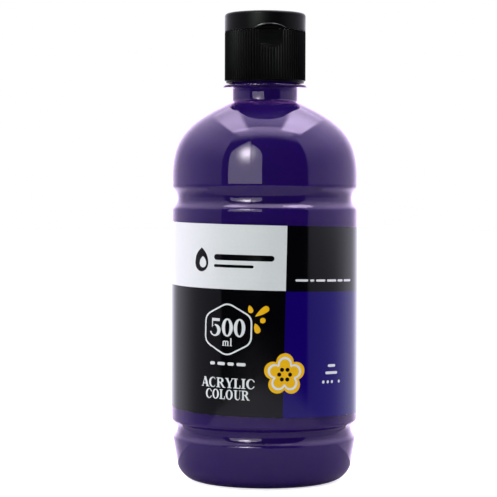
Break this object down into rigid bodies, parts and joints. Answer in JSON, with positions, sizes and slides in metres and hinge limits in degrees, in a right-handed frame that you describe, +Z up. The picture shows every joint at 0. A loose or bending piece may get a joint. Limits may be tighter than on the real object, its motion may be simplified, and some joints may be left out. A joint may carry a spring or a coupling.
{
  "type": "squeeze paint bottle",
  "caption": "Clear round-shouldered plastic squeeze bottle of purple artists' paint with a wrap label and a ribbed black screw-on flip-top cap.",
  "frame": {"origin": "middle of the base, on the plane that the bottle stands on", "axes": "+Z up along the bottle's axis, -Y towards the thumb recess at the front, +Y towards the lid's hinge"},
  "size_m": [0.0728, 0.0728, 0.1817],
  "materials": {
    "clear_plastic": "clear, glossy, thin-walled",
    "purple_paint": "wet, opaque, seen through the clear wall",
    "label_film": "printed film, satin",
    "seal_foil": "bright foil",
    "seal_foam": "soft closed-cell foam",
    "cap_plastic": "moulded, fine ribs, satin",
    "lid_plastic": "moulded, smooth, soft gloss"
  },
  "bodies": {
    "bottle": {"bottle": "clear_plastic", "paint_fill": "purple_paint", "wrap_label": "label_film", "foil_seal": "seal_foil"},
    "gasket": {"cap_gasket": "seal_foam"},
    "cap": {"cap_base": "cap_plastic", "hinge_web": "cap_plastic", "hinge_strap_left": "cap_plastic", "hinge_strap_right": "cap_plastic"},
    "lid": {"flip_lid": "lid_plastic"}
  },
  "joints": [
    {"name": "cap_rise", "type": "slide", "parent": "bottle", "child": "gasket", "axis": [0, 0, 1], "range_m": [0, 0.00636]},
    {"name": "cap_turn", "type": "hinge", "parent": "gasket", "child": "cap", "pos_m": [0, 0, 0.1732], "axis": [0, 0, 1], "range_deg": [0, 540]},
    {"name": "lid_flip", "type": "hinge", "parent": "cap", "child": "lid", "pos_m": [0, 0.0153, 0.17465], "axis": [-1, 0, 0], "range_deg": [0, 135], "deforming": ["hinge_web", "hinge_strap_left", "hinge_strap_right"]}
  ],
  "couplings": [
    {"joint": "cap_rise", "follows": "cap_turn", "m_per_rad": 0.00067376}
  ]
}
